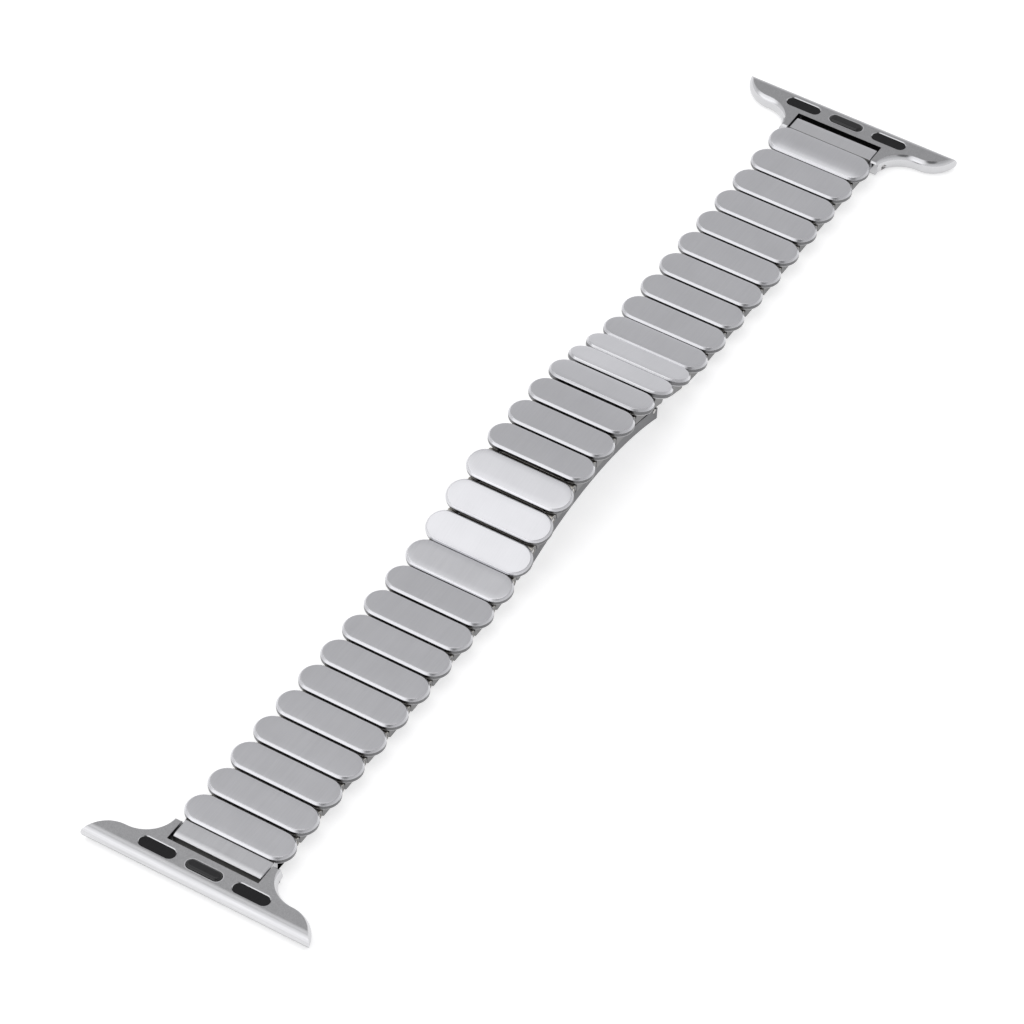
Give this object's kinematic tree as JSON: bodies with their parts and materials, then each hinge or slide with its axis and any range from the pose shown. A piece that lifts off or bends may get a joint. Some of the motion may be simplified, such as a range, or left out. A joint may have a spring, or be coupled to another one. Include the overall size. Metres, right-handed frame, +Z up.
{
  "type": "link watch bracelet",
  "caption": "Slim steel watch bracelet of pill-shaped links with a hidden fold-over clasp and slide-in adapters for a rectangular smartwatch case.",
  "frame": {"origin": "middle of the closed band's bounding box, on the surface it lies on", "axes": "+X along the band towards adapter a, +Y across the band, +Z up through the caps"},
  "size_m": [0.172, 0.034, 0.008],
  "materials": {
    "link_steel": "satin top brushed along the band, polished rim",
    "adapter_steel": "fine matt top, polished flanks, brushed rail",
    "clasp_steel": "brushed along the band",
    "pin_steel": "polished",
    "spring_steel": "bright strip",
    "pad_rubber": "matt, finely ribbed",
    "latch_black": "glossy"
  },
  "bodies": {
    "clasp_base": {"clasp_base": "clasp_steel", "clasp_hinge_pin": "pin_steel"},
    "clasp_arm": {"clasp_arm": "clasp_steel"},
    "link_01": {"link_01": "link_steel"},
    "link_02": {"link_02": "link_steel"},
    "link_03": {"link_03": "link_steel"},
    "link_04": {"link_04": "link_steel"},
    "link_05": {"link_05": "link_steel"},
    "link_06": {"link_06": "link_steel"},
    "link_07": {"link_07": "link_steel"},
    "link_08": {"link_08": "link_steel"},
    "link_09": {"link_09": "link_steel"},
    "link_10": {"link_10": "link_steel"},
    "link_11": {"link_11": "link_steel", "seam_pin": "pin_steel"},
    "link_12": {"link_12": "link_steel", "catch_pin": "pin_steel"},
    "link_13": {"link_13": "link_steel"},
    "link_14": {"link_14": "link_steel"},
    "link_15": {"link_15": "link_steel"},
    "link_16": {"link_16": "link_steel"},
    "link_17": {"link_17": "link_steel"},
    "link_18": {"link_18": "link_steel"},
    "link_19": {"link_19": "link_steel"},
    "link_20": {"link_20": "link_steel"},
    "link_21": {"link_21": "link_steel"},
    "link_22": {"link_22": "link_steel"},
    "link_23": {"link_23": "link_steel"},
    "link_24": {"link_24": "link_steel"},
    "link_25": {"link_25": "link_steel"},
    "link_26": {"link_26": "link_steel"},
    "link_27": {"link_27": "link_steel"},
    "link_28": {"link_28": "link_steel"},
    "link_29": {"link_29": "link_steel"},
    "link_30": {"link_30": "link_steel"},
    "adapter_a": {"adapter_a": "adapter_steel", "end_pin_a": "pin_steel", "grip_pads_a": "pad_rubber", "latch_spring_a": "spring_steel", "latch_plate_a": "pin_steel"},
    "latch_button_a": {"latch_button_a": "latch_black"},
    "adapter_b": {"adapter_b": "adapter_steel", "end_pin_b": "pin_steel", "grip_pads_b": "pad_rubber", "latch_spring_b": "spring_steel", "latch_plate_b": "pin_steel"},
    "latch_button_b": {"latch_button_b": "latch_black"}
  },
  "joints": [
    {"name": "seam_hinge", "type": "hinge", "parent": "clasp_base", "child": "link_11", "pos_m": [0.0206, 0, 0.00312], "axis": [0, 1, 0], "range_deg": [-12, 22]},
    {"name": "hinge_10", "type": "hinge", "parent": "link_11", "child": "link_10", "pos_m": [0.02559, 0, 0.0015], "axis": [0, 1, 0], "range_deg": [-0.5, 34]},
    {"name": "hinge_09", "type": "hinge", "parent": "link_10", "child": "link_09", "pos_m": [0.03081, 0, 0.00095], "axis": [0, 1, 0], "range_deg": [-6.5, 28]},
    {"name": "hinge_08", "type": "hinge", "parent": "link_09", "child": "link_08", "pos_m": [0.03606, 0, 0.00095], "axis": [0, 1, 0], "range_deg": [-12.5, 22]},
    {"name": "hinge_07", "type": "hinge", "parent": "link_08", "child": "link_07", "pos_m": [0.04131, 0, 0.00095], "axis": [0, 1, 0], "range_deg": [-12.5, 22]},
    {"name": "hinge_06", "type": "hinge", "parent": "link_07", "child": "link_06", "pos_m": [0.04656, 0, 0.00095], "axis": [0, 1, 0], "range_deg": [-12.5, 22]},
    {"name": "hinge_05", "type": "hinge", "parent": "link_06", "child": "link_05", "pos_m": [0.05181, 0, 0.00095], "axis": [0, 1, 0], "range_deg": [-12.5, 22]},
    {"name": "hinge_04", "type": "hinge", "parent": "link_05", "child": "link_04", "pos_m": [0.05706, 0, 0.00095], "axis": [0, 1, 0], "range_deg": [-12.5, 22]},
    {"name": "hinge_03", "type": "hinge", "parent": "link_04", "child": "link_03", "pos_m": [0.06231, 0, 0.00095], "axis": [0, 1, 0], "range_deg": [-12.5, 22]},
    {"name": "hinge_02", "type": "hinge", "parent": "link_03", "child": "link_02", "pos_m": [0.06756, 0, 0.00095], "axis": [0, 1, 0], "range_deg": [-12.5, 22]},
    {"name": "hinge_01", "type": "hinge", "parent": "link_02", "child": "link_01", "pos_m": [0.07281, 0, 0.00095], "axis": [0, 1, 0], "range_deg": [-12.5, 22]},
    {"name": "adapter_a_hinge", "type": "hinge", "parent": "link_01", "child": "adapter_a", "pos_m": [0.07959, 0, 0.00095], "axis": [0, 1, 0], "range_deg": [-60, 80]},
    {"name": "clasp_hinge", "type": "hinge", "parent": "clasp_base", "child": "clasp_arm", "pos_m": [-0.0151, 0, 0.001], "axis": [0, -1, 0], "range_deg": [0, 160]},
    {"name": "catch_hinge", "type": "hinge", "parent": "clasp_arm", "child": "link_12", "pos_m": [0.01743, 0, 0.00199], "axis": [0, 1, 0], "range_deg": [0, 2]},
    {"name": "hinge_12", "type": "hinge", "parent": "link_12", "child": "link_13", "pos_m": [0.01563, 0, 0.00483], "axis": [0, 1, 0], "range_deg": [0, 20.5]},
    {"name": "hinge_13", "type": "hinge", "parent": "link_13", "child": "link_14", "pos_m": [0.01048, 0, 0.00583], "axis": [0, 1, 0], "range_deg": [0, 20.5]},
    {"name": "hinge_14", "type": "hinge", "parent": "link_14", "child": "link_15", "pos_m": [0.00524, 0, 0.00611], "axis": [0, 1, 0], "range_deg": [0, 15.5]},
    {"name": "hinge_15", "type": "hinge", "parent": "link_15", "child": "link_16", "pos_m": [-0.00001, 0, 0.00611], "axis": [0, 1, 0], "range_deg": [0, 12.5]},
    {"name": "hinge_16", "type": "hinge", "parent": "link_16", "child": "link_17", "pos_m": [-0.00526, 0, 0.00611], "axis": [0, 1, 0], "range_deg": [0, 25.5]},
    {"name": "hinge_17", "type": "hinge", "parent": "link_17", "child": "link_18", "pos_m": [-0.01038, 0, 0.00493], "axis": [0, 1, 0], "range_deg": [0, 16.5]},
    {"name": "hinge_18", "type": "hinge", "parent": "link_18", "child": "link_19", "pos_m": [-0.0154, 0, 0.00339], "axis": [0, 1, 0], "range_deg": [-20, 14.5]},
    {"name": "hinge_19", "type": "hinge", "parent": "link_19", "child": "link_20", "pos_m": [-0.02036, 0, 0.00168], "axis": [0, 1, 0], "range_deg": [-32.99, 1.51]},
    {"name": "hinge_20", "type": "hinge", "parent": "link_20", "child": "link_21", "pos_m": [-0.02556, 0, 0.00095], "axis": [0, 1, 0], "range_deg": [-30.01, 4.49]},
    {"name": "hinge_21", "type": "hinge", "parent": "link_21", "child": "link_22", "pos_m": [-0.03081, 0, 0.00095], "axis": [0, 1, 0], "range_deg": [-22, 12.5]},
    {"name": "hinge_22", "type": "hinge", "parent": "link_22", "child": "link_23", "pos_m": [-0.03606, 0, 0.00095], "axis": [0, 1, 0], "range_deg": [-22, 12.5]},
    {"name": "hinge_23", "type": "hinge", "parent": "link_23", "child": "link_24", "pos_m": [-0.04131, 0, 0.00095], "axis": [0, 1, 0], "range_deg": [-22, 12.5]},
    {"name": "hinge_24", "type": "hinge", "parent": "link_24", "child": "link_25", "pos_m": [-0.04656, 0, 0.00095], "axis": [0, 1, 0], "range_deg": [-22, 12.5]},
    {"name": "hinge_25", "type": "hinge", "parent": "link_25", "child": "link_26", "pos_m": [-0.05181, 0, 0.00095], "axis": [0, 1, 0], "range_deg": [-22, 12.5]},
    {"name": "hinge_26", "type": "hinge", "parent": "link_26", "child": "link_27", "pos_m": [-0.05706, 0, 0.00095], "axis": [0, 1, 0], "range_deg": [-22, 12.5]},
    {"name": "hinge_27", "type": "hinge", "parent": "link_27", "child": "link_28", "pos_m": [-0.06231, 0, 0.00095], "axis": [0, 1, 0], "range_deg": [-22, 12.5]},
    {"name": "hinge_28", "type": "hinge", "parent": "link_28", "child": "link_29", "pos_m": [-0.06756, 0, 0.00095], "axis": [0, 1, 0], "range_deg": [-22, 12.5]},
    {"name": "hinge_29", "type": "hinge", "parent": "link_29", "child": "link_30", "pos_m": [-0.07281, 0, 0.00095], "axis": [0, 1, 0], "range_deg": [-22, 12.5]},
    {"name": "adapter_b_hinge", "type": "hinge", "parent": "link_30", "child": "adapter_b", "pos_m": [-0.07959, 0, 0.00095], "axis": [0, 1, 0], "range_deg": [-80, 60]},
    {"name": "latch_a_slide", "type": "slide", "parent": "adapter_a", "child": "latch_button_a", "axis": [0, 0, -1], "range_m": [0, 0.0006], "stiffness_N_per_m": 1500, "deforming": ["latch_spring_a"]},
    {"name": "latch_b_slide", "type": "slide", "parent": "adapter_b", "child": "latch_button_b", "axis": [0, 0, -1], "range_m": [0, 0.0006], "stiffness_N_per_m": 1500, "deforming": ["latch_spring_b"]}
  ]
}
